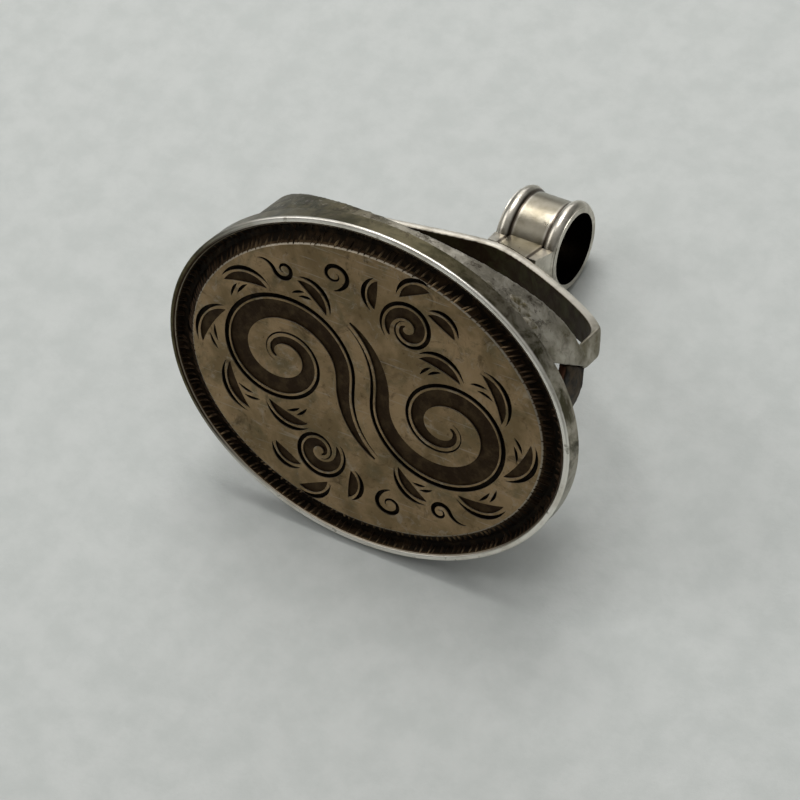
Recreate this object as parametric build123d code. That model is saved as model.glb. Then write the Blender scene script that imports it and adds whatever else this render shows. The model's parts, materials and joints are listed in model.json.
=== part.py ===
from build123d import *
import math
import os

# A small silver fob seal, in millimetres. It is modelled square to its own face and then laid down
# the way it rests on a table: on the lower edge of the rim and on the ring at the far end.
# In the face frame X runs along the long axis of the oval, Y along the short axis, and heights are
# measured from the face towards the ring.

# Oval plate and the rim band round its edge
SEAL_LENGTH = 25.0
SEAL_WIDTH = 19.8
PLATE_THICKNESS = 1.15
RIM_WALL = 0.34
RIM_ROUND = 0.11

# Hollow border between the rim and the flat field
BORDER_WIDTH = 1.25
BORDER_DEPTH = 0.42
BORDER_FLOOR = 0.35
BORDER_OUTER_SLOPE = 0.27

# Engraved scrolls: shallow shaded strokes, and deeper dark lines that run beside them over a thin land
ENGRAVING_MARGIN = 0.45
ENGRAVING_LAND = 0.10
SHADE_DEPTH = 0.10
LINE_DEPTH = 0.20
STEM_WIDTH = 1.15
BRANCH_WIDTH = 0.70
LEAF_WIDTH = 0.62
DARK_LINE = 0.28
HAIR_LINE = 0.18

# Leaves of the stem and of the branch. Each has the share of the path at which it grows, its length
# as a share of the room's height, and its turn from the path and its bend in degrees.
STEM_LEAVES = (
    (0.285, 0.33, -42, 62),
    (0.355, 0.38, -42, 66),
    (0.425, 0.40, -42, 70),
    (0.495, 0.40, -42, 70),
    (0.565, 0.36, -42, 66),
)
BRANCH_LEAVES = (
    (0.10, 0.24, 46, -62),
    (0.23, 0.27, 46, -66),
    (0.36, 0.26, 46, -62),
)
HATCH_PLACES = (0.45, 0.72)

# Collar: two hoops of strip that make an oval. They rest on the back of the plate at the middle of
# its long sides and rise towards the two ends, where they meet at a slant. There the lower one is set
# in a step, and its front corner is cut off.
COLLAR_LENGTH = 21.7
COLLAR_WIDTH = 15.3
COLLAR_WALL = 0.5
COLLAR_BAND = 2.6
COLLAR_END_RISE = 4.35
COLLAR_SHIFT_X = -1.1
COLLAR_SHIFT_Y = 0.9
COLLAR_SPLIT = 1.5
COLLAR_SLANT = 1.4
COLLAR_STEP = 0.1
COLLAR_NOTCH = 0.7

# Solder beads that hold the collar to the plate
BEAD_LENGTH = 7.0
BEAD_HEIGHT = 0.45
BEAD_LIP = 0.3

# Strap: an arch of strip that springs from the two ends of the collar, level with its outside
STRAP_WIDTH = 2.4
STRAP_END_WIDTH = 1.6
STRAP_THICKNESS = 0.65
STRAP_TOP = 15.25
STRAP_SPRING = 1.0
STRAP_CROWN_EASE = 0.28
STRAP_END_EASE = 0.23
STRAP_ROUND = 0.10

# Saddle between the strap and the ring
SADDLE_HEIGHT = 1.15
SADDLE_FOOT_LENGTH = 3.4
SADDLE_WIDTH = 2.0
SADDLE_WRAP = 0.35
SADDLE_CLEARANCE = 0.03

# Ring at the end, with a raised reed along each edge
BAIL_BORE = 4.4
BAIL_WALL = 0.35
BAIL_LENGTH = 3.95
BAIL_SHIFT_X = 0.1
REED_WIDTH = 0.8
REED_HEIGHT = 0.25
REED_INSET = 0.04

# Values that follow from those sizes
half_length = SEAL_LENGTH / 2
half_width = SEAL_WIDTH / 2
collar_half_length = COLLAR_LENGTH / 2
collar_half_width = COLLAR_WIDTH / 2
collar_bend = (collar_half_length**2 + COLLAR_END_RISE**2) / (2 * COLLAR_END_RISE)
collar_top = PLATE_THICKNESS + COLLAR_BAND
strap_top = PLATE_THICKNESS + STRAP_TOP
band_radius = BAIL_BORE / 2 + BAIL_WALL
reed_radius = band_radius + REED_HEIGHT
bail_height = strap_top + SADDLE_HEIGHT + band_radius

# Plane that looks along the short axis: its x is the long axis and its y the height
profile_plane = Plane(origin=(0, 0, 0), x_dir=(1, 0, 0), z_dir=(0, 1, 0))

# Plane that looks along the long axis: its x is the short axis and its y the height
cross_plane = Plane(origin=(0, 0, 0), x_dir=(0, 1, 0), z_dir=(-1, 0, 0))


def oval(inset, height):
    """An oval face parallel to the seal's face, drawn in from the rim by an inset."""
    return Pos(0, 0, -height) * Ellipse(half_length - inset, half_width - inset)


def oval_solid(inset_top, inset_bottom, top, bottom):
    """A solid between two ovals, straight or tapered."""
    return loft([oval(inset_top, top), oval(inset_bottom, bottom)], ruled=True)


def spiral(centre, radius_x, radius_y, left_over, start_angle, sweep):
    """A path that winds in round a centre until only a share of its radii is left over."""

    def path(t):
        share = 1 + (left_over - 1) * t
        angle = math.radians(start_angle + sweep * t)
        x = centre[0] + share * radius_x * math.cos(angle)
        y = centre[1] + share * radius_y * math.sin(angle)
        return x, y

    return path


def leaf(root, direction, length, bend):
    """A path that leaves its root in a direction and bends evenly by an angle."""
    turn = math.radians(bend)
    start = math.radians(direction)
    radius = length / turn

    def path(t):
        along = radius * math.sin(turn * t)
        across = radius * (1 - math.cos(turn * t))
        x = root[0] + along * math.cos(start) - across * math.sin(start)
        y = root[1] + along * math.sin(start) + across * math.cos(start)
        return x, y

    return path


def joined(first, second, share):
    """A path that runs the first path backwards and then the second, the first for a share of it."""

    def path(t):
        if t < share:
            return first(1 - t / share)
        return second((t - share) / (1 - share))

    return path


def heading(path, t):
    """The direction of a path at a share of its length, in degrees."""
    x0, y0 = path(max(t - 0.01, 0.0))
    x1, y1 = path(min(t + 0.01, 1.0))
    return math.degrees(math.atan2(y1 - y0, x1 - x0))


def swell(t, peak):
    """How full a stroke is along its length: thin at both ends, full at its peak."""
    evened = t ** (math.log(0.5) / math.log(peak))
    return 0.12 + 0.88 * math.sin(math.pi * evened) ** 1.2


def beside(path, gap):
    """The path that runs beside another at a gap given as a function of 0 to 1."""

    def moved(t):
        x, y = path(t)
        turn = math.radians(heading(path, t))
        return x - gap(t) * math.sin(turn), y + gap(t) * math.cos(turn)

    return moved


def stroke(path, width, peak, count):
    """The face of a long stroke that swells along a path."""
    left = beside(path, lambda t: width / 2 * swell(t, peak))
    right = beside(path, lambda t: -width / 2 * swell(t, peak))
    shares = [index / (count - 1) for index in range(count)]
    edges = [
        Spline(*[left(share) for share in shares]),
        Line(left(1), right(1)),
        Spline(*[right(share) for share in reversed(shares)]),
        Line(right(0), left(0)),
    ]
    return make_face(edges)


def crescent(path, width):
    """The face of a short stroke along an even bend, pointed at both ends."""
    left = beside(path, lambda t: width / 2)(0.5)
    right = beside(path, lambda t: -width / 2)(0.5)
    return make_face([ThreePointArc(path(0), left, path(1)), ThreePointArc(path(1), right, path(0))])


def scroll(path, width, peak, count, side):
    """A shaded stroke and the dark line beside it."""
    land = ENGRAVING_LAND + DARK_LINE / 2
    back = beside(path, lambda t: side * (width / 2 * swell(t, peak) + land))
    return [stroke(path, width, peak, count)], [stroke(back, DARK_LINE, peak, count)]


def leaves(path, table, room_y, stem_width, side, hatch_places):
    """The shades and the dark lines of the leaves along one side of a scroll."""
    land = ENGRAVING_LAND + DARK_LINE / 2
    rooted = beside(path, lambda t: side * (stem_width / 2 + 2 * land + ENGRAVING_LAND))
    shades = []
    lines = []
    for share, length, turn, bend in table:
        inner = math.copysign(1, bend)
        reach = length * room_y
        blade = leaf(rooted(share), heading(path, share) + turn, reach, bend)
        back = beside(blade, lambda t: -inner * (LEAF_WIDTH / 2 * math.sin(math.pi * t) + land))
        front = beside(blade, lambda t: inner * (LEAF_WIDTH / 2 + ENGRAVING_LAND))
        shades.append(crescent(blade, LEAF_WIDTH))
        lines.append(crescent(back, DARK_LINE))
        for place in hatch_places:
            hatch = leaf(front(place), heading(blade, place) + inner * 30, 0.34 * reach, bend / 2)
            lines.append(crescent(hatch, HAIR_LINE))
    return shades, lines


def tendril(curl, lead_length, lead_bend):
    """A hair line that runs into a small curl."""
    lead = leaf(curl(0), heading(curl, 0) + 180, lead_length, lead_bend)
    return stroke(joined(lead, curl, 0.36), DARK_LINE, 0.45, 23)


def half_ornament():
    """One half of the scrolls, as shades and lines: a winding stem, a branch, leaves and two tendrils."""
    room_x = half_length - RIM_WALL - BORDER_WIDTH - ENGRAVING_MARGIN
    room_y = half_width - RIM_WALL - BORDER_WIDTH - ENGRAVING_MARGIN
    coil = spiral((0.49 * room_x, -0.05 * room_y), 0.375 * room_x, 0.43 * room_y, 0.10, 172, 575)
    tail = leaf(coil(0), heading(coil, 0) + 180, 0.60 * room_y, 60)
    stem = joined(tail, coil, 0.2)
    branch = spiral((0.235 * room_x, 0.615 * room_y), 0.12 * room_x, 0.15 * room_y, 0.15, 215, -450)
    inner_curl = spiral((-0.20 * room_x, 0.83 * room_y), 0.08 * room_x, 0.09 * room_y, 0.22, -30, 440)
    outer_curl = spiral((-0.50 * room_x, 0.73 * room_y), 0.06 * room_x, 0.075 * room_y, 0.22, 200, 430)
    groups = [
        scroll(stem, STEM_WIDTH, 0.42, 33, -1),
        scroll(branch, BRANCH_WIDTH, 0.35, 23, 1),
        leaves(stem, STEM_LEAVES, room_y, STEM_WIDTH, -1, HATCH_PLACES),
        leaves(branch, BRANCH_LEAVES, room_y, BRANCH_WIDTH, 1, ()),
        ([], [tendril(inner_curl, 0.12 * room_y, -50), tendril(outer_curl, 0.16 * room_y, 80)]),
    ]
    shades = [face for group in groups for face in group[0]]
    lines = [face for group in groups for face in group[1]]
    return shades, lines


def make_seal_plate():
    """The oval plate: flat field, hollow border and engraved scrolls."""
    plate = oval_solid(RIM_WALL, RIM_WALL, 0, PLATE_THICKNESS)
    floor_outer = RIM_WALL + BORDER_OUTER_SLOPE
    border = oval_solid(RIM_WALL, floor_outer, 0, BORDER_DEPTH)
    border -= oval_solid(RIM_WALL + BORDER_WIDTH, floor_outer + BORDER_FLOOR, 0, BORDER_DEPTH)
    plate = plate.cut(border)
    shades, lines = half_ornament()
    cuts = []
    for faces, depth in ((shades, SHADE_DEPTH), (lines, LINE_DEPTH)):
        for face in faces:
            for turn in (0, 180):
                cuts.append(extrude(Rot(0, 0, turn) * face, amount=-depth).solid())
    return plate.cut(*cuts)


def make_rim_band():
    """The thin band round the plate, its worn front edge level with the field."""
    band = oval_solid(0, 0, 0, PLATE_THICKNESS) - oval_solid(RIM_WALL, RIM_WALL, 0, PLATE_THICKNESS)
    front_edges = band.faces().sort_by(Axis.Z)[-1].edges()
    return fillet(front_edges, RIM_ROUND)


def collar_oval(inset):
    """The collar's oval, drawn in from its outside by an inset, as a tall block."""
    outline = Ellipse(collar_half_length - inset, collar_half_width - inset)
    return extrude(Pos(COLLAR_SHIFT_X, COLLAR_SHIFT_Y) * outline, amount=-2 * strap_top)


def bend_rise(x):
    """How far the collar's bend has lifted it at a distance from the middle of the seal."""
    return collar_bend - math.sqrt(collar_bend**2 - x**2)


def bent_block(low, high):
    """A block across the seal between two heights, bent up evenly away from the middle."""
    reach = collar_half_length + abs(COLLAR_SHIFT_X) + COLLAR_WALL
    rise = bend_rise(reach)
    outline = [
        ThreePointArc((-reach, low + rise), (0, low), (reach, low + rise)),
        Line((reach, low + rise), (reach, high + rise)),
        ThreePointArc((reach, high + rise), (0, high), (-reach, high + rise)),
        Line((-reach, high + rise), (-reach, low + rise)),
    ]
    section = Pos(0, 0, -SEAL_WIDTH) * make_face(outline)
    return extrude(profile_plane * section, amount=2 * SEAL_WIDTH)


def collar_seat(side):
    """Height of the collar's back edge at one end."""
    return collar_top + bend_rise(COLLAR_SHIFT_X + side * collar_half_length)


def meeting_line(height):
    """Where the slanted line at which the two hoops meet lies across the seal at a height."""
    return COLLAR_SPLIT + COLLAR_SLANT / COLLAR_BAND * (collar_seat(1) - height)


def half_space(side):
    """All that lies above or below the slanted line at which the two hoops meet."""
    high = 2 * strap_top
    far = side * 2 * SEAL_WIDTH
    section = make_face(
        Polyline((meeting_line(0), 0), (meeting_line(high), high), (far, high), (far, 0), close=True)
    )
    return extrude(cross_plane * Pos(0, 0, -SEAL_LENGTH) * section, amount=2 * SEAL_LENGTH)


def end_notch(end):
    """The wedge that is cut off the lower hoop's front corner at one end, beside the upper hoop."""
    height = collar_seat(end) - COLLAR_BAND + COLLAR_NOTCH
    tip = meeting_line(height)
    foot = height - COLLAR_BAND
    section = make_face(
        Polyline((tip, height), (tip - COLLAR_BAND, foot), (tip + COLLAR_BAND, foot), close=True)
    )
    return extrude(cross_plane * section, amount=-end * SEAL_LENGTH)


def make_collar(inset, side):
    """One hoop of the collar, on one side of the line at which they meet."""
    hoop = collar_oval(inset) - collar_oval(inset + COLLAR_WALL)
    return hoop & bent_block(PLATE_THICKNESS, collar_top) & half_space(side)


def make_bead(inset, side, collar):
    """Solder that fills the wedge between the plate and one long side of the collar."""
    hoop = collar_oval(inset - BEAD_LIP) - collar_oval(inset + COLLAR_WALL + BEAD_LIP)
    middle = COLLAR_SHIFT_Y + side * collar_half_width
    block = Box(BEAD_LENGTH, collar_half_width, BEAD_HEIGHT)
    block = Pos(0, middle, -PLATE_THICKNESS - BEAD_HEIGHT / 2) * block
    return (hoop & block) - collar


def arch(inset):
    """A filled arch with the strap's outside shape, drawn in by an inset, across the whole seal."""
    crown = (COLLAR_SHIFT_X, strap_top - inset)
    outline = []
    feet = []
    for side in (-1, 1):
        span = side * (collar_half_length - inset)
        end = COLLAR_SHIFT_X + span
        seat = collar_seat(side)
        foot = (end, seat - COLLAR_WALL - inset)
        spring = (end, seat + STRAP_SPRING)
        crown_handle = (COLLAR_SHIFT_X + STRAP_CROWN_EASE * span, crown[1])
        end_handle = (end, spring[1] + STRAP_END_EASE * (crown[1] - spring[1]))
        outline.append(Line(foot, spring))
        outline.append(Bezier(spring, end_handle, crown_handle, crown))
        feet.append(foot)
    outline.append(Line(*feet))
    section = Pos(0, 0, -SEAL_WIDTH) * make_face(outline)
    return extrude(profile_plane * section, amount=2 * SEAL_WIDTH)


def strap_plan():
    """A tall block with the strap's outline seen square to the face: it drifts up towards its ends."""
    left = COLLAR_SHIFT_X - collar_half_length
    right = COLLAR_SHIFT_X + collar_half_length
    low = COLLAR_SPLIT
    high = COLLAR_SPLIT + STRAP_END_WIDTH
    outline = [
        ThreePointArc((left, low), (COLLAR_SHIFT_X, -STRAP_WIDTH / 2), (right, low)),
        Line((right, low), (right, high)),
        ThreePointArc((right, high), (COLLAR_SHIFT_X, STRAP_WIDTH / 2), (left, high)),
        Line((left, high), (left, low)),
    ]
    return extrude(make_face(outline), amount=-2 * strap_top)


def make_strap():
    """The arch from one end of the collar to the other, seated on the collar's back edge."""
    strap = (arch(0) - arch(STRAP_THICKNESS)) & strap_plan() & collar_oval(0)
    strap -= collar_oval(0) & bent_block(0, collar_top)
    long_edges = strap.edges().filter_by(lambda edge: edge.length > collar_half_length / 2)
    return fillet(long_edges, STRAP_ROUND)


def ring(outer_radius, inner_radius, length, centre_x):
    """A ring round the axis of the bail."""
    place = Pos(BAIL_SHIFT_X + centre_x, 0, -bail_height) * Rot(0, 90, 0)
    return place * (Cylinder(outer_radius, length) - Cylinder(inner_radius, length))


def make_reed(side):
    """A half round reed on one edge of the ring."""
    middle = side * (BAIL_LENGTH / 2 - REED_INSET - REED_WIDTH / 2)
    half = REED_WIDTH / 2
    section = make_face(
        [
            Line((band_radius, -half), (band_radius, half)),
            ThreePointArc((band_radius, half), (reed_radius, 0), (band_radius, -half)),
        ]
    )
    turned = revolve(Plane.XZ * section, axis=Axis.Z)
    return Pos(BAIL_SHIFT_X + middle, 0, -bail_height) * Rot(0, 90, 0) * turned


def make_saddle():
    """The flared foot between the strap and the ring, hollowed to hold the ring and clear its reeds."""
    foot_height = strap_top - STRAP_THICKNESS
    rim_height = strap_top + SADDLE_HEIGHT + SADDLE_WRAP
    foot = Pos(BAIL_SHIFT_X, 0, -foot_height) * Rectangle(SADDLE_FOOT_LENGTH, STRAP_WIDTH)
    rim = Pos(BAIL_SHIFT_X, 0, -rim_height) * Rectangle(BAIL_LENGTH, SADDLE_WIDTH)
    saddle = loft([foot, rim], ruled=True) - arch(0)
    axis = Pos(BAIL_SHIFT_X, 0, -bail_height) * Rot(0, 90, 0)
    saddle -= axis * Cylinder(band_radius, 2 * BAIL_LENGTH)
    tongue = BAIL_LENGTH - 2 * (REED_INSET + REED_WIDTH + SADDLE_CLEARANCE)
    reed_room = Cylinder(reed_radius + SADDLE_CLEARANCE, BAIL_LENGTH)
    for side in (-1, 1):
        saddle -= axis * Pos(0, 0, side * (tongue + BAIL_LENGTH) / 2) * reed_room
    return saddle


def make_pieces():
    upper = make_collar(0, 1)
    lower = make_collar(COLLAR_STEP, -1) - end_notch(-1) - end_notch(1)
    return {
        "seal_plate": make_seal_plate(),
        "rim_band": make_rim_band(),
        "collar_upper": upper,
        "collar_lower": lower,
        "solder_bead_upper": make_bead(0, 1, upper),
        "solder_bead_lower": make_bead(COLLAR_STEP, -1, lower),
        "strap": make_strap(),
        "saddle": make_saddle(),
        "bail_band": ring(band_radius, BAIL_BORE / 2, BAIL_LENGTH, 0),
        "bail_reed_left": make_reed(-1),
        "bail_reed_right": make_reed(1),
    }


def resting_place():
    """The turn and shift that lay the seal on its rim and its ring, centred over the origin."""
    run = bail_height - PLATE_THICKNESS
    distance = math.hypot(run, half_width)
    tilt = math.atan2(half_width, run) - math.asin(reed_radius / distance)
    back_edge = half_width * math.cos(tilt) + PLATE_THICKNESS * math.sin(tilt)
    near = -half_width * math.sin(tilt)
    far = bail_height * math.cos(tilt) + reed_radius
    return Pos(0, -(near + far) / 2, back_edge) * Rot(90 - math.degrees(tilt), 0, 0)


os.makedirs("parts", exist_ok=True)
place = resting_place()
pieces = make_pieces()
for name, piece in pieces.items():
    export_step(place * piece.solid(), os.path.join("parts", name + ".step"))
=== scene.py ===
import json
import math
import random

import bmesh
import bpy
from mathutils import Matrix, Quaternion, Vector, noise


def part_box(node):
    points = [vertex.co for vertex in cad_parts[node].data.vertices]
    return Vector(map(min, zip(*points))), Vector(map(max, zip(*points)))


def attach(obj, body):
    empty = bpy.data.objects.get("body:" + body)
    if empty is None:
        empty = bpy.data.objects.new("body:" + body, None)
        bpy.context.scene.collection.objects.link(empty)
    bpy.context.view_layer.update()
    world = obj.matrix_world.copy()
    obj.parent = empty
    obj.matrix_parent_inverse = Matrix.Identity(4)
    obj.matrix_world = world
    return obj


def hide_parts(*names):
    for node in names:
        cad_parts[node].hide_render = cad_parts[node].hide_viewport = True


MM = 0.001

# Camera at the photograph's viewing angle
CAMERA_AZIMUTH = 39.15
CAMERA_ELEVATION = 50.10
CAMERA_ROLL = -11.28
CAMERA_FIELD_OF_VIEW = 15.19
CAMERA_DISTANCE = 160.3 * MM
CAMERA_AIM = Vector((1.862, -8.435, 9.170)) * MM

# Oval of the plate and its hollow border, in millimetres from the rim's outside
OVAL_HALF_LENGTH = 12.5
OVAL_HALF_WIDTH = 9.9
RIM_INSET = 0.34
BORDER_FLOOR_INSET = 0.61
BORDER_FLOOR_END = 0.96
BORDER_INSET = 1.59
BORDER_DEPTH = 0.42

# Oval of the collar behind the plate, in millimetres
COLLAR_CENTRE = (-1.1, 0.9)
COLLAR_HALF_LENGTH = 10.85
COLLAR_HALF_WIDTH = 7.65
COLLAR_WALL = 0.5
COLLAR_STEP = 0.1
COLLAR_BEND = 15.71
COLLAR_BAND = 2.6
PLATE_THICKNESS = 1.15

# Inner edge of the ring's reeds, in millimetres from the ring's middle
REED_EDGE = 1.135

# Short ridges between the cuts that run down both slopes of the border, in millimetres
HATCH_COUNT = 180
HATCH_WIDTH = 0.21
HATCH_HEIGHT = 0.10
HATCH_SINK = 0.02
HATCH_ROWS = 6

# How full a ridge is at its two ends, as a share of half a sine wave
HATCH_TIP = 0.12

# Each slope's ridges: the insets where they start and end, and how far they slant, in millimetres
INNER_RIDGES = {"seed": 7, "starts": (1.50, 1.58), "ends": (0.92, 1.15), "slants": (-0.34, -0.12)}
OUTER_RIDGES = {"seed": 11, "starts": (0.37, 0.42), "ends": (0.66, 0.88), "slants": (0.08, 0.30)}

# Rubbed edges of the handle: size of the even mesh, in millimetres, and rounds of smoothing
WORN_GRAIN = 0.085
WORN_ROUNDS = 16

# Solder spilt on the collar: stretch of the oval in degrees, place as a share of the band's width,
# and sizes in millimetres
LUMP_COUNT = 17
LUMP_SEED = 21
LUMP_STRETCH = (34, 78)
LUMP_PLACE = (0.16, 0.62)
LUMP_REACH = (0.22, 0.62)
LUMP_HEIGHT = (0.05, 0.13)
LUMP_SINK = 0.03
LUMP_SQUASH = 0.7
LUMP_RINGS = 6
LUMP_SPOKES = 18

# Solder run along the collar's foot, in millimetres, and the least share of its length at an end
BEAD_HALF_LENGTH = 3.45
BEAD_FOOT = 0.27
BEAD_HEIGHT = 0.40
BEAD_HEIGHT_LIMIT = 0.43
BEAD_SINK = 0.02
BEAD_END = 0.004
BEAD_STEPS = 60
BEAD_ROWS = 9

# Points of a new mesh closer than this, in millimetres, are one
SAME_PLACE = 0.0001

# Turn of the long scratches on the face, in radians
SCRATCH_TURN = 0.5

# Table, in metres, and the studio's light at the horizon and overhead
TABLE_REACH = 0.6
TABLE_DARK = (0.520, 0.545, 0.530)
TABLE_PALE = (0.575, 0.596, 0.582)
STUDIO_STOPS = ((0.05, (0.08, 0.08, 0.078, 1)), (0.85, (0.36, 0.36, 0.352, 1)))

# Lamps: name, place and size in metres, power in watts, and colour
LAMPS = (
    ("key", (-0.072, 0.155, 0.384), 0.22, 1.0, (1.0, 0.99, 0.97)),
    ("window", (-0.165, 0.353, 0.225), 0.28, 0.3, (0.98, 0.99, 1.0)),
    ("left", (-0.324, -0.118, 0.289), 0.25, 0.4, (1.0, 0.99, 0.98)),
)

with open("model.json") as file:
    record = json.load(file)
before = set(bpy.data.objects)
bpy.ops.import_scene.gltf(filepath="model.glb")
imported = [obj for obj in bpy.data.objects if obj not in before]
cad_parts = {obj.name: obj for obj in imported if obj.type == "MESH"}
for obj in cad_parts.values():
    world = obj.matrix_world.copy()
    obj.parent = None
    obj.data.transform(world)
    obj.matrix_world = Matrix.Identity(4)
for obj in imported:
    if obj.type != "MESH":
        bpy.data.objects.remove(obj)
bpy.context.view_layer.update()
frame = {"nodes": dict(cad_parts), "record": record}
scene = bpy.context.scene
mounts = {mount["name"]: mount for mount in frame["record"]["mounts"]}

# The face frame: U along the oval, V across it, and N out of the face
FACE_N = Vector(mounts["seal_face"]["axis"]).normalized()
FACE_U = Vector((1, 0, 0))
FACE_V = FACE_N.cross(FACE_U)
plate_low, plate_high = (Vector(corner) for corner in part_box("seal_plate"))
plate_middle = (plate_low + plate_high) / 2
FACE_POINT = Vector(mounts["seal_face"]["pos_m"])
FACE_CENTRE = plate_middle + FACE_N * (FACE_POINT - plate_middle).dot(FACE_N)
COLLAR_POINT = FACE_CENTRE + (FACE_U * COLLAR_CENTRE[0] + FACE_V * COLLAR_CENTRE[1]) * MM
BAIL_CENTRE = Vector(mounts["bail_bore"]["pos_m"])


def on_face(u, v, depth):
    """A point of the face frame, in millimetres, as a place in the scene."""
    return FACE_CENTRE + (FACE_U * u + FACE_V * v - FACE_N * depth) * MM


class Surface:
    """A node material with the few helpers that the metals here need."""

    def __init__(self, name):
        self.material = bpy.data.materials.new(name)
        self.material.use_nodes = True
        self.nodes = self.material.node_tree.nodes
        self.links = self.material.node_tree.links
        self.shader = self.nodes["Principled BSDF"]
        self.place = self.nodes.new("ShaderNodeTexCoord").outputs["Object"]
        self.normal = self.nodes.new("ShaderNodeNewGeometry").outputs["Normal"]

    def connect(self, value, socket):
        """Links a socket, or sets a plain value."""
        if isinstance(value, bpy.types.NodeSocket):
            self.links.new(value, socket)
        else:
            socket.default_value = value

    def math(self, operation, first, second=0.0):
        """The result of a sum on one or two values."""
        node = self.nodes.new("ShaderNodeMath")
        node.operation = operation
        self.connect(first, node.inputs[0])
        self.connect(second, node.inputs[1])
        return node.outputs[0]

    def times(self, first, second):
        """The product of two values."""
        return self.math("MULTIPLY", first, second)

    def without(self, value):
        """One minus a value."""
        return self.math("SUBTRACT", 1.0, value)

    def dot(self, vector, axis):
        """How much of a vector lies along an axis."""
        node = self.nodes.new("ShaderNodeVectorMath")
        node.operation = "DOT_PRODUCT"
        self.connect(vector, node.inputs[0])
        node.inputs[1].default_value = axis
        return node.outputs["Value"]

    def distance_along(self, axis, origin):
        """How far a point lies along an axis from an origin, in millimetres."""
        scaled = self.dot(self.place, axis / MM)
        return self.math("SUBTRACT", scaled, axis.dot(origin) / MM)

    def rise(self, value, low, high):
        """A smooth step from 0 at low to 1 at high."""
        node = self.nodes.new("ShaderNodeMapRange")
        node.interpolation_type = "SMOOTHSTEP"
        self.connect(value, node.inputs["Value"])
        node.inputs["From Min"].default_value = low
        node.inputs["From Max"].default_value = high
        return node.outputs["Result"]

    def noise(self, size, detail=4.0, roughness=0.55, distortion=0.0, stretch=None):
        """Noise whose patches are about a size across, in millimetres, and may be drawn out."""
        node = self.nodes.new("ShaderNodeTexNoise")
        place = self.place
        if stretch:
            mapping = self.nodes.new("ShaderNodeMapping")
            mapping.inputs["Rotation"].default_value = (0.0, 0.0, SCRATCH_TURN)
            mapping.inputs["Scale"].default_value = stretch
            self.links.new(place, mapping.inputs["Vector"])
            place = mapping.outputs["Vector"]
        self.links.new(place, node.inputs["Vector"])
        node.inputs["Scale"].default_value = 1 / (size * MM)
        node.inputs["Detail"].default_value = detail
        node.inputs["Roughness"].default_value = roughness
        node.inputs["Distortion"].default_value = distortion
        return node.outputs["Fac"]

    def blend(self, factor, first, second):
        """A mix of two colours. The node keeps its colour sockets at 6 and 7 and their mix at 2."""
        node = self.nodes.new("ShaderNodeMix")
        node.data_type = "RGBA"
        self.connect(factor, node.inputs[0])
        self.connect(self.opaque(first), node.inputs[6])
        self.connect(self.opaque(second), node.inputs[7])
        return node.outputs[2]

    def opaque(self, colour):
        """A socket as it is, or a plain colour with full alpha."""
        if isinstance(colour, bpy.types.NodeSocket):
            return colour
        return tuple(colour) + (1.0,)

    def bump(self, height, strength, distance):
        """Fine unevenness of the surface, its height in millimetres."""
        node = self.nodes.new("ShaderNodeBump")
        node.inputs["Strength"].default_value = strength
        node.inputs["Distance"].default_value = distance * MM
        self.links.new(height, node.inputs["Height"])
        self.links.new(node.outputs["Normal"], self.shader.inputs["Normal"])

    def finish(self, colour, metallic, roughness):
        """The material, with its main values in place."""
        self.connect(self.opaque(colour), self.shader.inputs["Base Color"])
        self.connect(metallic, self.shader.inputs["Metallic"])
        self.connect(roughness, self.shader.inputs["Roughness"])
        return self.material


# Colours of the silver from clean to black
SHINE = (0.86, 0.83, 0.76)
BRIGHT = (0.66, 0.62, 0.54)
CLEAN = (0.42, 0.385, 0.32)
TAN = (0.37, 0.26, 0.145)
KHAKI = (0.21, 0.148, 0.075)
OLIVE = (0.13, 0.11, 0.06)
MOSS = (0.048, 0.042, 0.017)
UMBER = (0.066, 0.043, 0.021)
# Painted reddish reflection for the lower hoop's front edge.
RED_REFLECTION = (0.11, 0.05, 0.03)
BROWN = (0.030, 0.017, 0.008)
BLACK = (0.006, 0.004, 0.002)


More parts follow.
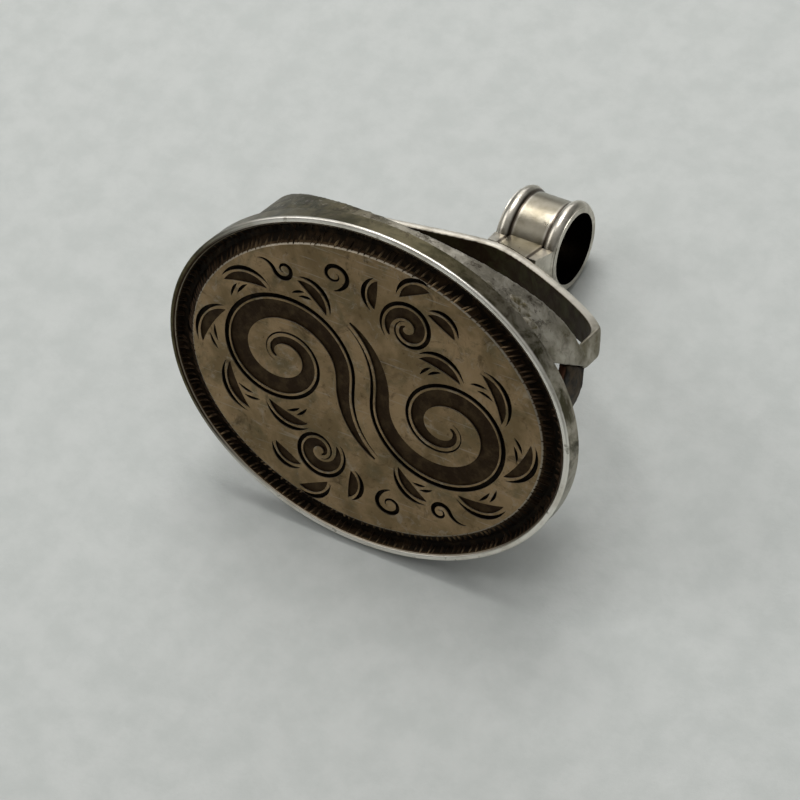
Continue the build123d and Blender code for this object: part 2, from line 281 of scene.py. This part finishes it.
def engraved_material():
    """The plate: a dull tan field, shaded strokes brown, cut lines and border black with patina."""
    s = Surface("engraved_silver")
    depth = s.times(s.distance_along(FACE_N, FACE_CENTRE), -1.0)
    shaded = s.rise(depth, 0.03, 0.08)
    black = s.rise(depth, 0.11, 0.17)
    edge = s.times(s.rise(depth, 0.0, 0.01), s.without(s.rise(depth, 0.04, 0.08)))
    cloud = s.rise(s.noise(2.8, 5.0, 0.62, 0.4), 0.36, 0.66)
    field = s.blend(cloud, KHAKI, TAN)
    grey = s.rise(s.noise(1.7, 5.0, 0.66, 0.5), 0.50, 0.68)
    field = s.blend(s.times(grey, 0.6), field, OLIVE)
    rubbed = s.rise(s.noise(0.75, 5.0, 0.7, 0.6), 0.54, 0.72)
    field = s.blend(s.times(rubbed, 0.45), field, CLEAN)
    stain = s.rise(s.noise(1.1, 6.0, 0.7, 0.8), 0.54, 0.72)
    field = s.blend(s.times(stain, 0.6), field, BROWN)
    speck = s.rise(s.noise(0.28, 3.0, 0.6), 0.62, 0.74)
    field = s.blend(s.times(speck, 0.5), field, BROWN)
    scratch = s.rise(s.noise(0.16, 2.0, 0.5, 0.0, (0.06, 1.0, 1.0)), 0.62, 0.72)
    field = s.blend(s.times(scratch, 0.35), field, CLEAN)
    shade = s.blend(s.rise(s.noise(0.8, 5.0, 0.65), 0.40, 0.70), BROWN, UMBER)
    streak = s.rise(s.noise(0.9, 6.0, 0.7, 0.8), 0.45, 0.72)
    dark = s.blend(streak, BLACK, BROWN)
    colour = s.blend(shaded, field, shade)
    colour = s.blend(s.times(edge, 0.7), colour, CLEAN)
    colour = s.blend(black, colour, dark)
    # Painted shade with tarnish: the plate's back, seen in the gap behind the collar, is coloured darker
    # moss and brown.
    back = s.blend(s.times(stain, 0.7), s.blend(cloud, MOSS, KHAKI), BROWN)
    colour = s.blend(s.rise(s.dot(s.normal, FACE_N), -0.2, -0.6), colour, back)
    roughness = s.math("ADD", 0.40, s.times(s.noise(0.9, 4.0), 0.22))
    s.bump(s.noise(0.6, 6.0, 0.65), 0.5, 0.07)
    return s.finish(colour, 0.95, roughness)


def hatch_material():
    """The ridges between the border's cuts: tan at the top, brown down in the hollow."""
    s = Surface("hatched_silver")
    depth = s.times(s.distance_along(FACE_N, FACE_CENTRE), -1.0)
    patches = s.rise(s.noise(1.2, 5.0, 0.65), 0.38, 0.64)
    off_middle = s.math("ABSOLUTE", s.distance_along(FACE_V, FACE_CENTRE))
    patches = s.times(patches, s.rise(off_middle, 4.0, 8.0))
    top = s.blend(patches, BROWN, TAN)
    colour = s.blend(s.rise(depth, 0.05, 0.34), top, BROWN)
    roughness = s.math("ADD", 0.38, s.times(s.noise(0.5, 4.0), 0.22))
    return s.finish(colour, 0.85, roughness)


def oval_share(s):
    """How far out a point lies on the plate's oval, 1 being the rim's outside."""
    along = s.times(s.distance_along(FACE_U, FACE_CENTRE), 1 / OVAL_HALF_LENGTH)
    across = s.times(s.distance_along(FACE_V, FACE_CENTRE), 1 / OVAL_HALF_WIDTH)
    return s.math("SQRT", s.math("ADD", s.times(along, along), s.times(across, across)))


def rim_material():
    """The rim: bright along its worn front edge, which also carries a painted highlight, duller at its
    left end and down its outside.
    """
    s = Surface("worn_silver")
    depth = s.times(s.distance_along(FACE_N, FACE_CENTRE), -1.0)
    # Front-edge mask: worn silver, and also where a painted highlight lies along the top of the rim.
    wear_and_highlight = s.without(s.rise(depth, 0.06, 0.20))
    wear_and_highlight = s.times(wear_and_highlight, s.rise(s.distance_along(FACE_U, FACE_CENTRE), -11.5, -5.0))
    patches = s.rise(s.noise(1.6, 5.0, 0.65, 0.4), 0.36, 0.62)
    side = s.blend(patches, MOSS, OLIVE)
    rubbed = s.rise(s.distance_along(FACE_U, FACE_CENTRE), 4.0, 11.0)
    side = s.blend(s.times(rubbed, s.times(patches, 0.8)), side, CLEAN)
    stain = s.rise(s.noise(0.7, 5.0, 0.7, 0.6), 0.52, 0.70)
    side = s.blend(s.times(stain, 0.6), side, BROWN)
    # Near-white front colour: worn silver with a painted highlight.
    front = s.blend(s.rise(s.noise(2.4, 4.0, 0.6), 0.30, 0.56), BRIGHT, SHINE)
    nick = s.rise(s.noise(0.5, 3.0, 0.6), 0.62, 0.74)
    front = s.blend(s.times(nick, 0.6), front, OLIVE)
    colour = s.blend(wear_and_highlight, side, front)
    grime = s.times(s.rise(oval_share(s), 0.986, 0.978), s.without(wear_and_highlight))
    colour = s.blend(grime, colour, BROWN)
    roughness = s.math("ADD", 0.22, s.times(s.noise(0.5, 4.0), 0.26))
    s.bump(s.noise(0.4, 4.0, 0.6), 0.3, 0.04)
    return s.finish(colour, 0.95, roughness)


def strip_colours(s, edge, inward):
    """Mottled strip, olive at the left, rubbed paler at the right, bright at its edges with wear and a
    painted highlight, and dark inside with painted shade.
    """
    mottle = s.rise(s.noise(1.3, 6.0, 0.68, 0.6), 0.40, 0.66)
    rubbed = s.rise(s.distance_along(FACE_U, FACE_CENTRE), -5.0, 4.0)
    face = s.blend(mottle, MOSS, OLIVE)
    face = s.blend(s.times(rubbed, 0.5), face, CLEAN)
    face = s.blend(s.times(rubbed, s.times(mottle, 0.6)), face, BRIGHT)
    pits = s.rise(s.noise(0.55, 5.0, 0.7, 0.7), 0.51, 0.64)
    face = s.blend(s.times(pits, 0.75), face, BROWN)
    flecks = s.rise(s.noise(0.32, 4.0, 0.6), 0.58, 0.70)
    face = s.blend(s.times(flecks, 0.5), face, CLEAN)
    # Painted shade: walls turned inward are coloured dark brown and moss.
    painted_shade_inside = s.blend(mottle, BROWN, MOSS)
    face = s.blend(inward, face, painted_shade_inside)
    # Edge colour: rubbed silver, painted paler as a highlight.
    wear_and_highlight = s.blend(s.rise(s.noise(1.7, 3.0), 0.30, 0.55), CLEAN, BRIGHT)
    return s.blend(edge, face, wear_and_highlight)


def turned_inward(s):
    """1 on the collar's walls that face the middle of its oval, and 0 on its outside."""
    along = s.times(s.distance_along(FACE_U, COLLAR_POINT), s.dot(s.normal, FACE_U))
    across = s.times(s.distance_along(FACE_V, COLLAR_POINT), s.dot(s.normal, FACE_V))
    return s.rise(s.math("ADD", along, across), 0.5, -1.5)


def upper_collar_material():
    """The upper hoop: mottled along its side, rubbed smooth and pale at its right end."""
    s = Surface("tarnished_silver")
    # edge marks the collar's edge faces, which get the bright edge colour with its painted highlight.
    edge = s.rise(s.math("ABSOLUTE", s.dot(s.normal, FACE_N)), 0.55, 0.85)
    # inward marks the inner walls, which get painted shade in strip_colours.
    inward = turned_inward(s)
    colour = strip_colours(s, edge, inward)
    rubbed = s.times(s.rise(s.distance_along(FACE_U, FACE_CENTRE), 7.4, 9.2), s.without(inward))
    pale = s.blend(s.rise(s.noise(1.4, 4.0), 0.34, 0.62), OLIVE, CLEAN)
    colour = s.blend(s.times(rubbed, 0.6), colour, pale)
    roughness = s.math("ADD", 0.30, s.times(s.noise(0.6, 4.0), 0.30))
    s.bump(s.noise(0.38, 5.0, 0.68), 0.45, 0.05)
    return s.finish(colour, 0.9, roughness)


def lower_collar_material():
    """The lower hoop: near black with patina and painted shade, a painted reddish reflection near its
    front edge and a painted highlight along its back edge.
    """
    s = Surface("dark_silver")
    forward = s.dot(s.normal, FACE_N)
    mottle = s.rise(s.noise(1.0, 6.0, 0.68, 0.6), 0.40, 0.66)
    # Painted shade over the patina: the walls are near black and umber.
    colour = s.blend(mottle, BLACK, UMBER)
    # Painted reflection: faces turned forward are tinted reddish.
    colour = s.blend(s.rise(forward, 0.3, 0.7), colour, RED_REFLECTION)
    # Painted highlight: paler silver along the back edge.
    wear_and_highlight = s.blend(s.rise(s.noise(1.7, 3.0), 0.30, 0.55), CLEAN, BRIGHT)
    colour = s.blend(s.rise(forward, -0.5, -0.8), colour, wear_and_highlight)
    roughness = s.math("ADD", 0.45, s.times(s.noise(0.6, 4.0), 0.30))
    s.bump(s.noise(0.38, 5.0, 0.68), 0.45, 0.05)
    return s.finish(colour, 0.9, roughness)


def strap_material():
    """The strap: its edges are the faces turned across the seal, its inside looks at the plate."""
    s = Surface("strap_silver")
    # edge marks the faces turned across the seal, which get the bright edge colour with its painted
    # highlight.
    edge = s.rise(s.math("ABSOLUTE", s.dot(s.normal, FACE_V)), 0.45, 0.75)
    # inward marks the strap's inside, which gets painted shade in strip_colours.
    inward = s.rise(s.dot(s.normal, FACE_N), 0.05, 0.4)
    colour = strip_colours(s, edge, inward)
    end = s.times(s.rise(s.distance_along(FACE_U, FACE_CENTRE), 8.0, 9.2), s.without(inward))
    pale = s.blend(s.rise(s.noise(1.4, 4.0), 0.34, 0.62), OLIVE, CLEAN)
    colour = s.blend(s.times(end, 0.85), colour, pale)
    roughness = s.math("ADD", 0.26, s.times(s.noise(0.6, 4.0), 0.28))
    roughness = s.math("ADD", roughness, s.times(inward, 0.3))
    s.bump(s.noise(0.4, 5.0, 0.65), 0.3, 0.04)
    return s.finish(colour, 0.92, roughness)


def ring_material():
    """The ring: smooth silver, duller between its reeds, dark beside them and black in its bore."""
    s = Surface("ring_silver")
    across = s.distance_along(Vector((0, 1, 0)), BAIL_CENTRE)
    up = s.distance_along(Vector((0, 0, 1)), BAIL_CENTRE)
    outward = s.times(across, s.dot(s.normal, (0, 1, 0)))
    outward = s.math("ADD", outward, s.times(up, s.dot(s.normal, (0, 0, 1))))
    inside = s.rise(outward, -0.4, -1.2)
    tarnish = s.rise(s.noise(1.5, 5.0, 0.6, 0.4), 0.40, 0.66)
    colour = s.blend(tarnish, BRIGHT, CLEAN)
    off_middle = s.math("ABSOLUTE", s.distance_along(FACE_U, BAIL_CENTRE))
    barrel = s.without(s.rise(off_middle, REED_EDGE - 0.3, REED_EDGE))
    colour = s.blend(s.times(barrel, 0.65), colour, OLIVE)
    stain = s.rise(s.noise(0.5, 5.0, 0.7, 0.5), 0.58, 0.72)
    colour = s.blend(s.times(stain, 0.5), colour, OLIVE)
    beside = s.math("ABSOLUTE", s.math("SUBTRACT", off_middle, REED_EDGE))
    corner = s.without(s.rise(beside, 0.05, 0.17))
    colour = s.blend(s.times(corner, 0.92), colour, BROWN)
    colour = s.blend(inside, colour, BLACK)
    roughness = s.math("ADD", 0.22, s.times(s.noise(0.7, 3.0), 0.18))
    s.bump(s.noise(0.5, 4.0, 0.6), 0.22, 0.05)
    return s.finish(colour, 0.98, roughness)


def solder_material():
    """Dull, grainy solder."""
    s = Surface("solder")
    patches = s.rise(s.noise(0.5, 6.0, 0.7, 0.8), 0.38, 0.64)
    colour = s.blend(patches, OLIVE, CLEAN)
    roughness = s.math("ADD", 0.35, s.times(s.noise(0.3, 4.0), 0.25))
    s.bump(s.noise(0.25, 5.0, 0.7), 0.5, 0.06)
    return s.finish(colour, 0.9, roughness)


def floor_material():
    """Pale grey paper-like table."""
    s = Surface("table")
    cloud = s.rise(s.noise(2.2, 5.0, 0.6), 0.30, 0.70)
    grain = s.noise(0.7, 5.0, 0.65)
    colour = s.blend(cloud, TABLE_DARK, TABLE_PALE)
    s.bump(grain, 0.35, 0.10)
    return s.finish(colour, 0.0, 0.8)


def mesh_piece(name, vertices, faces, material, smooth=False):
    """A mesh object from plain lists."""
    mesh = bpy.data.meshes.new(name)
    mesh.from_pydata(vertices, [], faces)
    mesh.update()
    shape = bmesh.new()
    shape.from_mesh(mesh)
    bmesh.ops.remove_doubles(shape, verts=shape.verts, dist=SAME_PLACE * MM)
    bmesh.ops.recalc_face_normals(shape, faces=shape.faces)
    shape.to_mesh(mesh)
    shape.free()
    for face in mesh.polygons:
        face.use_smooth = smooth
    mesh.materials.append(material)
    piece = bpy.data.objects.new(name, mesh)
    scene.collection.objects.link(piece)
    return piece


def behind_collar(place):
    """Whether a place lies behind the collar's back edge, where the strap begins."""
    offset = (place - FACE_CENTRE) / MM
    return -offset.dot(FACE_N) > PLATE_THICKNESS + COLLAR_BAND + bend_rise(offset.dot(FACE_U))


def worn_copy(name, nodes, materials):
    """A copy of CAD nodes with their sharp edges rubbed round, in those nodes' place."""
    shape = bmesh.new()
    for node in nodes:
        shape.from_mesh(frame["nodes"][node].data)
    mesh = bpy.data.meshes.new(name)
    shape.to_mesh(mesh)
    shape.free()
    mesh.transform(Matrix.Scale(1 / MM, 4))
    piece = bpy.data.objects.new(name, mesh)
    scene.collection.objects.link(piece)
    remesh = piece.modifiers.new("even", "REMESH")
    remesh.mode = "VOXEL"
    remesh.voxel_size = WORN_GRAIN
    smooth = piece.modifiers.new("rubbed", "SMOOTH")
    smooth.factor = 0.5
    smooth.iterations = WORN_ROUNDS
    shaped = piece.evaluated_get(bpy.context.evaluated_depsgraph_get())
    mesh = bpy.data.meshes.new_from_object(shaped)
    mesh.transform(Matrix.Scale(MM, 4))
    mesh.materials.clear()
    for material in materials:
        mesh.materials.append(material)
    for face in mesh.polygons:
        face.use_smooth = True
        face.material_index = len(materials) - 1 if behind_collar(face.center) else 0
    piece.modifiers.clear()
    piece.data = mesh
    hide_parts(*nodes)
    return piece


def border_depth(inset):
    """Depth of the hollow border at an inset from the rim's outside."""
    if inset <= BORDER_FLOOR_INSET:
        return BORDER_DEPTH * (inset - RIM_INSET) / (BORDER_FLOOR_INSET - RIM_INSET)
    if inset <= BORDER_FLOOR_END:
        return BORDER_DEPTH
    return BORDER_DEPTH * (BORDER_INSET - inset) / (BORDER_INSET - BORDER_FLOOR_END)


def border_point(angle, inset, lift):
    """A point on the border's floor or slopes, lifted off it."""
    u = (OVAL_HALF_LENGTH - inset) * math.cos(angle)
    v = (OVAL_HALF_WIDTH - inset) * math.sin(angle)
    return on_face(u, v, border_depth(inset) - lift)


def make_hatching(name, material, seed, starts, ends, slants):
    """Short slanted ridges left between the cuts all round one slope of the border."""
    chance = random.Random(seed)
    vertices = []
    faces = []
    for index in range(HATCH_COUNT):
        angle = 2 * math.pi * (index + chance.uniform(-0.25, 0.25)) / HATCH_COUNT
        reach = math.hypot(OVAL_HALF_LENGTH * math.sin(angle), OVAL_HALF_WIDTH * math.cos(angle))
        half = 0.5 * HATCH_WIDTH * chance.uniform(0.7, 1.25) / reach
        slant = chance.uniform(*slants) / reach
        start = chance.uniform(*starts)
        end = chance.uniform(*ends)
        height = HATCH_HEIGHT * chance.uniform(0.6, 1.2)
        first = len(vertices)
        for step in range(HATCH_ROWS):
            share = step / (HATCH_ROWS - 1)
            inset = start + (end - start) * share
            middle = angle + slant * share
            swell = math.sin(math.pi * (HATCH_TIP + (1 - 2 * HATCH_TIP) * share))
            vertices.append(border_point(middle - half * swell, inset, -HATCH_SINK))
            vertices.append(border_point(middle, inset, height * swell))
            vertices.append(border_point(middle + half * swell, inset, -HATCH_SINK))
        for step in range(HATCH_ROWS - 1):
            row = first + 3 * step
            for side in range(3):
                other = (side + 1) % 3
                faces.append((row + side, row + other, row + 3 + other, row + 3 + side))
        faces.append((first, first + 1, first + 2))
        last = first + 3 * (HATCH_ROWS - 1)
        faces.append((last, last + 2, last + 1))
    return mesh_piece(name, vertices, faces, material)


def bend_rise(u):
    """How far the collar's bend has lifted it at a distance from the middle of the seal."""
    return COLLAR_BEND - math.sqrt(COLLAR_BEND**2 - u**2)


def collar_place(angle, outset):
    """A point at an outset from the collar's oval, in the face frame."""
    u = COLLAR_CENTRE[0] + (COLLAR_HALF_LENGTH + outset) * math.cos(angle)
    v = COLLAR_CENTRE[1] + (COLLAR_HALF_WIDTH + outset) * math.sin(angle)
    return u, v


def make_solder_lumps(material):
    """Low uneven lumps of spilt solder on the outside of the collar."""
    chance = random.Random(LUMP_SEED)
    vertices = []
    faces = []
    for index in range(LUMP_COUNT):
        angle = math.radians(chance.uniform(*LUMP_STRETCH))
        share = chance.uniform(*LUMP_PLACE)
        wide = chance.uniform(*LUMP_REACH)
        tall = chance.uniform(*LUMP_HEIGHT)
        seed = Vector((3.1 * index, 1.7 * index, 0.4))
        spread = math.hypot(COLLAR_HALF_LENGTH * math.sin(angle), COLLAR_HALF_WIDTH * math.cos(angle))
        first = len(vertices)
        for ring in range(LUMP_RINGS + 1):
            out = ring / LUMP_RINGS
            for step in range(LUMP_SPOKES):
                turn = 2 * math.pi * step / LUMP_SPOKES
                ragged = 1 + 0.45 * noise.noise(seed + Vector((math.cos(turn), math.sin(turn), 0)))
                along = out * wide * ragged * math.cos(turn)
                up = LUMP_SQUASH * out * wide * ragged * math.sin(turn)
                here = angle + along / spread
                dome = tall * (1 - out**2) - LUMP_SINK
                dome *= 1 + 0.5 * noise.noise(seed + Vector((along * 5, up * 5, 1)))
                u, v = collar_place(here, dome)
                depth = PLATE_THICKNESS + bend_rise(u) + share * COLLAR_BAND + up
                vertices.append(on_face(u, v, depth))
        for ring in range(LUMP_RINGS):
            inner = first + ring * LUMP_SPOKES
            outer = inner + LUMP_SPOKES
            for step in range(LUMP_SPOKES):
                after = (step + 1) % LUMP_SPOKES
                faces.append((inner + step, inner + after, outer + after, outer + step))
    return mesh_piece("solder_lumps", vertices, faces, material, smooth=True)


def make_bead(name, side, inset, material):
    """Uneven solder run along both sides of the collar's foot, where it stands on the plate."""
    vertices = []
    faces = []
    for outside in (1, -1):
        first = len(vertices)
        for step in range(BEAD_STEPS + 1):
            share = step / BEAD_STEPS
            u = BEAD_HALF_LENGTH * (2 * share - 1)
            fade = math.sin(math.pi * min(max(share, BEAD_END), 1 - BEAD_END)) ** 0.7
            wall = inset if outside > 0 else inset + COLLAR_WALL
            cos = (u - COLLAR_CENTRE[0]) / (COLLAR_HALF_LENGTH - wall)
            sin = math.sqrt(1 - cos**2)
            v = COLLAR_CENTRE[1] + side * (COLLAR_HALF_WIDTH - wall) * sin
            lump = 1 + 0.35 * noise.noise(Vector((u * 1.7, outside * 5, side * 9)))
            foot = BEAD_FOOT * fade * lump
            top = min(BEAD_HEIGHT * fade * lump, BEAD_HEIGHT_LIMIT)
            for row in range(BEAD_ROWS):
                turn = 0.5 * math.pi * row / (BEAD_ROWS - 1)
                across = foot * math.cos(turn) - BEAD_SINK * math.sin(turn)
                depth = PLATE_THICKNESS + bend_rise(u) * math.sin(turn) + top * math.sin(turn)
                vertices.append(on_face(u, v + side * outside * across, depth))
        for step in range(BEAD_STEPS):
            for row in range(BEAD_ROWS - 1):
                here = first + step * BEAD_ROWS + row
                after = here + BEAD_ROWS
                faces.append((here, here + 1, after + 1, after))
    return mesh_piece(name, vertices, faces, material, smooth=True)


def add_area_light(name, place, size, energy, colour):
    """A soft square lamp that looks at the seal."""
    data = bpy.data.lights.new(name, "AREA")
    data.shape = "SQUARE"
    data.size = size
    data.energy = energy
    data.color = colour
    lamp = bpy.data.objects.new(name, data)
    lamp.location = place
    lamp.rotation_mode = "QUATERNION"
    lamp.rotation_quaternion = (-lamp.location).to_track_quat("-Z", "Y")
    scene.collection.objects.link(lamp)


def make_camera():
    """The camera, looking at the seal from the photograph's side."""
    turn = math.radians(CAMERA_AZIMUTH)
    lift = math.radians(CAMERA_ELEVATION)
    back = Vector((math.sin(turn) * math.cos(lift), -math.cos(turn) * math.cos(lift), math.sin(lift)))
    data = bpy.data.cameras.new("camera")
    data.sensor_fit = "HORIZONTAL"
    data.lens = data.sensor_width / 2 / math.tan(math.radians(CAMERA_FIELD_OF_VIEW) / 2)
    data.clip_start = 0.01
    data.clip_end = 10.0
    camera = bpy.data.objects.new("camera", data)
    camera.location = CAMERA_AIM + back * CAMERA_DISTANCE
    camera.rotation_mode = "QUATERNION"
    roll = Quaternion((0, 0, 1), math.radians(CAMERA_ROLL))
    camera.rotation_quaternion = (-back).to_track_quat("-Z", "Y") @ roll
    scene.collection.objects.link(camera)
    scene.camera = camera


def make_world():
    """A grey studio: paler overhead, darker towards the horizon."""
    world = bpy.data.worlds.new("studio")
    world.use_nodes = True
    nodes = world.node_tree.nodes
    links = world.node_tree.links
    direction = nodes.new("ShaderNodeTexCoord").outputs["Generated"]
    split = nodes.new("ShaderNodeSeparateXYZ")
    links.new(direction, split.inputs["Vector"])
    ramp = nodes.new("ShaderNodeValToRGB")
    for stop, (position, colour) in zip(ramp.color_ramp.elements, STUDIO_STOPS):
        stop.position = position
        stop.color = colour
    links.new(split.outputs["Z"], ramp.inputs["Fac"])
    links.new(ramp.outputs["Color"], nodes["Background"].inputs["Color"])
    scene.world = world


def make_floor(material):
    """The table that the seal lies on."""
    corners = [(TABLE_REACH * x, TABLE_REACH * y, 0) for x, y in ((-1, -1), (1, -1), (1, 1), (-1, 1))]
    floor = mesh_piece("table", corners, [(0, 1, 2, 3)], material)


scene.view_settings.view_transform = "Standard"
make_camera()
make_world()
make_floor(floor_material())
for lamp in LAMPS:
    add_area_light(*lamp)

engraved = engraved_material()
hatched = hatch_material()
ring = ring_material()
solder = solder_material()
finishes = {
    "seal_plate": engraved,
    "rim_band": rim_material(),
    "saddle": ring,
    "bail_band": ring,
    "bail_reed_left": ring,
    "bail_reed_right": ring,
}
for name, material in finishes.items():
    frame["nodes"][name].material_slots[0].material = material

pieces = {
    "engraved_silver": [
        make_hatching("inner_hatching", hatched, **INNER_RIDGES),
        make_hatching("outer_hatching", hatched, **OUTER_RIDGES),
    ],
    "tarnished_silver": [
        worn_copy("worn_handle", ["collar_upper", "strap"], [upper_collar_material(), strap_material()]),
        worn_copy("worn_collar_lower", ["collar_lower"], [lower_collar_material()]),
    ],
    "solder": [make_solder_lumps(solder)],
}
upper_bead = make_bead("upper_solder", 1, 0, solder)
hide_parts("solder_bead_upper")
lower_bead = make_bead("lower_solder", -1, COLLAR_STEP, solder)
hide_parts("solder_bead_lower")
pieces["solder"] += [upper_bead, lower_bead]
for slot, made in pieces.items():
    for piece in made:
        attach(piece, "root")

bpy.context.view_layer.update()
